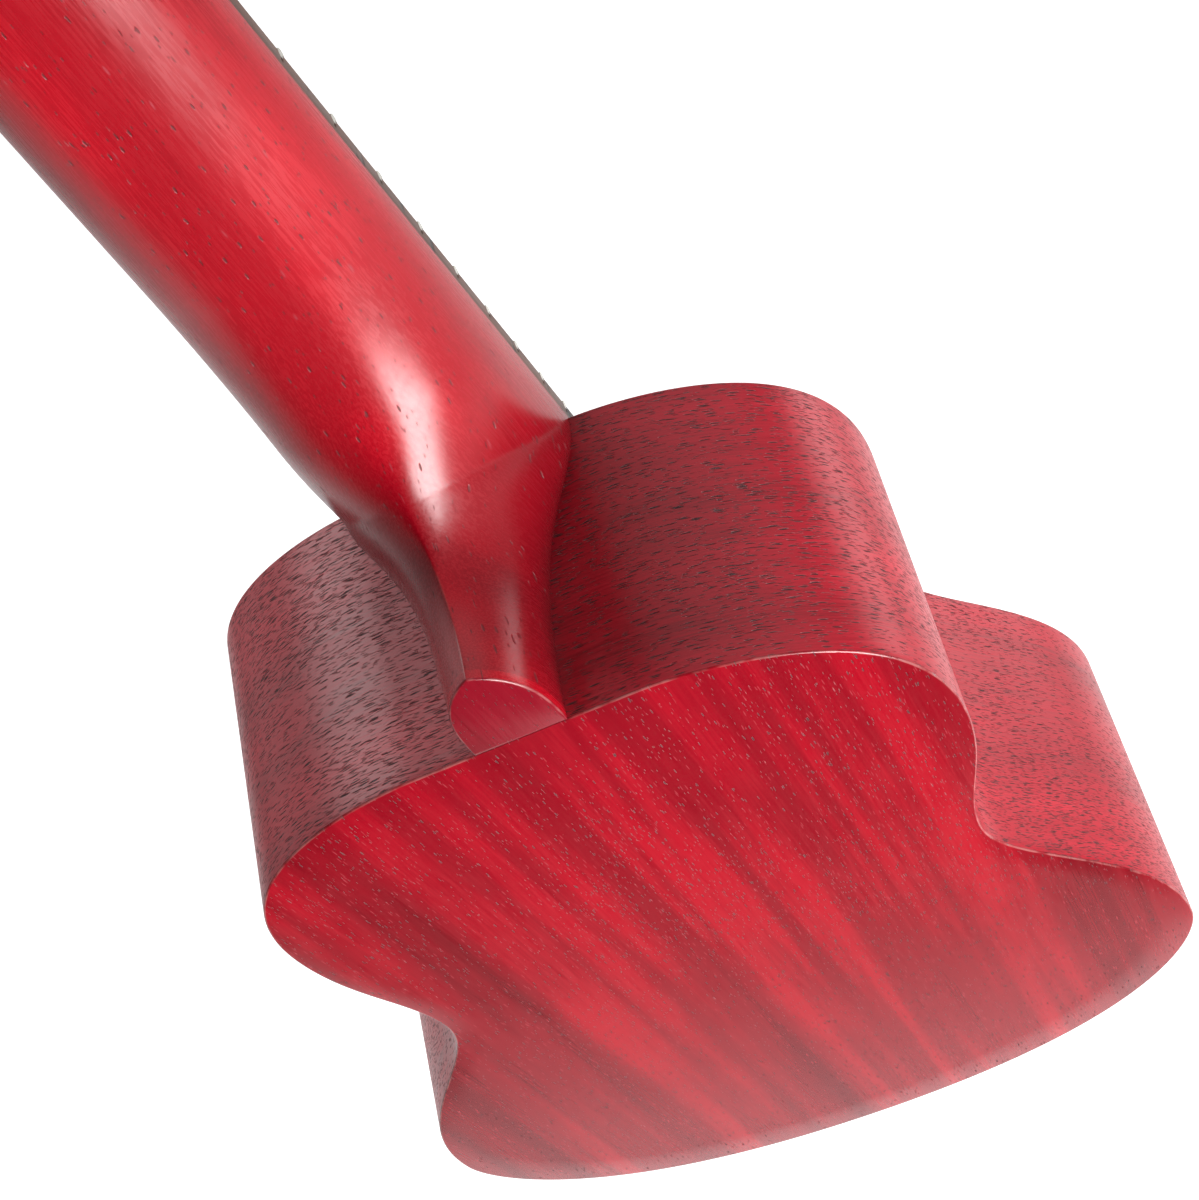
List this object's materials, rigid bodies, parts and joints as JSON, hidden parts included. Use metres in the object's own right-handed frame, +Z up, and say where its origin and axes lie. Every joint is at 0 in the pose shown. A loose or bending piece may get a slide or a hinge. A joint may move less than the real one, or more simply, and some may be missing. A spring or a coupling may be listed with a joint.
{
  "type": "ukulele",
  "caption": "Small four-string ukulele with a waisted hollow body, carved neck and heel, fretted fingerboard and geared tuners.",
  "frame": {"origin": "bottom centre of the whole object, level with the lowest point of the tail", "axes": "+Z up along the neck towards the headstock, soundboard and strings facing -Y, back facing +Y, X across the body"},
  "size_m": [0.19, 0.0826, 0.5165],
  "materials": {
    "stained_back": "satin red stain over open-pored mahogany",
    "stained_rib": "satin red stain over open-pored mahogany",
    "stained_neck": "smooth satin red stain",
    "inner_wood": "bare sanded wood",
    "rosewood": "oiled",
    "bone_plastic": "polished",
    "button_plastic": "polished",
    "nylon": "translucent nylon",
    "nickel_silver": "polished",
    "nickel_plate": "bright plated"
  },
  "bodies": {
    "instrument": {"back_plate": "stained_back", "soundboard": "stained_rib", "rib_left": "stained_rib", "rib_right": "stained_rib", "neck_block": "inner_wood", "tail_block": "inner_wood", "top_lining_left": "inner_wood", "top_lining_right": "inner_wood", "back_lining_left": "inner_wood", "back_lining_right": "inner_wood", "back_braces": "inner_wood", "soundboard_braces": "inner_wood", "bridge_patch": "inner_wood", "neck": "stained_neck", "neck_dowels": "inner_wood", "heel_cap": "stained_back", "fretboard": "rosewood", "frets": "nickel_silver", "position_dots": "bone_plastic", "nut": "bone_plastic", "bridge": "rosewood", "saddle": "bone_plastic", "string_g": "nylon", "string_c": "nylon", "string_e": "nylon", "string_a": "nylon", "tuner_plates": "nickel_plate", "tuner_screws": "nickel_plate", "post_bushings": "nickel_plate"},
    "post_g_turn": {"post_g": "nickel_plate", "gear_g": "nickel_plate", "gear_screw_g": "nickel_plate", "winding_g": "nylon"},
    "button_g_turn": {"worm_g": "nickel_plate", "button_g": "button_plastic", "button_screw_g": "nickel_plate"},
    "post_c_turn": {"post_c": "nickel_plate", "gear_c": "nickel_plate", "gear_screw_c": "nickel_plate", "winding_c": "nylon"},
    "button_c_turn": {"worm_c": "nickel_plate", "button_c": "button_plastic", "button_screw_c": "nickel_plate"},
    "post_e_turn": {"post_e": "nickel_plate", "gear_e": "nickel_plate", "gear_screw_e": "nickel_plate", "winding_e": "nylon"},
    "button_e_turn": {"worm_e": "nickel_plate", "button_e": "button_plastic", "button_screw_e": "nickel_plate"},
    "post_a_turn": {"post_a": "nickel_plate", "gear_a": "nickel_plate", "gear_screw_a": "nickel_plate", "winding_a": "nylon"},
    "button_a_turn": {"worm_a": "nickel_plate", "button_a": "button_plastic", "button_screw_a": "nickel_plate"}
  },
  "joints": [
    {"name": "button_g_spin", "type": "hinge", "parent": "instrument", "child": "button_g_turn", "pos_m": [-0.0405, -0.01575, 0.4493], "axis": [1, 0, 0], "continuous": true},
    {"name": "post_g_spin", "type": "hinge", "parent": "instrument", "child": "post_g_turn", "pos_m": [-0.014, -0.03175, 0.4425], "axis": [0, 1, 0], "continuous": true},
    {"name": "button_c_spin", "type": "hinge", "parent": "instrument", "child": "button_c_turn", "pos_m": [-0.0405, -0.01575, 0.4893], "axis": [1, 0, 0], "continuous": true},
    {"name": "post_c_spin", "type": "hinge", "parent": "instrument", "child": "post_c_turn", "pos_m": [-0.014, -0.03175, 0.4825], "axis": [0, 1, 0], "continuous": true},
    {"name": "button_e_spin", "type": "hinge", "parent": "instrument", "child": "button_e_turn", "pos_m": [0.0405, -0.01575, 0.4893], "axis": [1, 0, 0], "continuous": true},
    {"name": "post_e_spin", "type": "hinge", "parent": "instrument", "child": "post_e_turn", "pos_m": [0.014, -0.03175, 0.4825], "axis": [0, 1, 0], "continuous": true},
    {"name": "button_a_spin", "type": "hinge", "parent": "instrument", "child": "button_a_turn", "pos_m": [0.0405, -0.01575, 0.4493], "axis": [1, 0, 0], "continuous": true},
    {"name": "post_a_spin", "type": "hinge", "parent": "instrument", "child": "post_a_turn", "pos_m": [0.014, -0.03175, 0.4425], "axis": [0, 1, 0], "continuous": true}
  ],
  "couplings": [
    {"joint": "post_g_spin", "follows": "button_g_spin", "ratio": -0.071429},
    {"joint": "post_c_spin", "follows": "button_c_spin", "ratio": -0.071429},
    {"joint": "post_e_spin", "follows": "button_e_spin", "ratio": -0.071429},
    {"joint": "post_a_spin", "follows": "button_a_spin", "ratio": -0.071429}
  ]
}
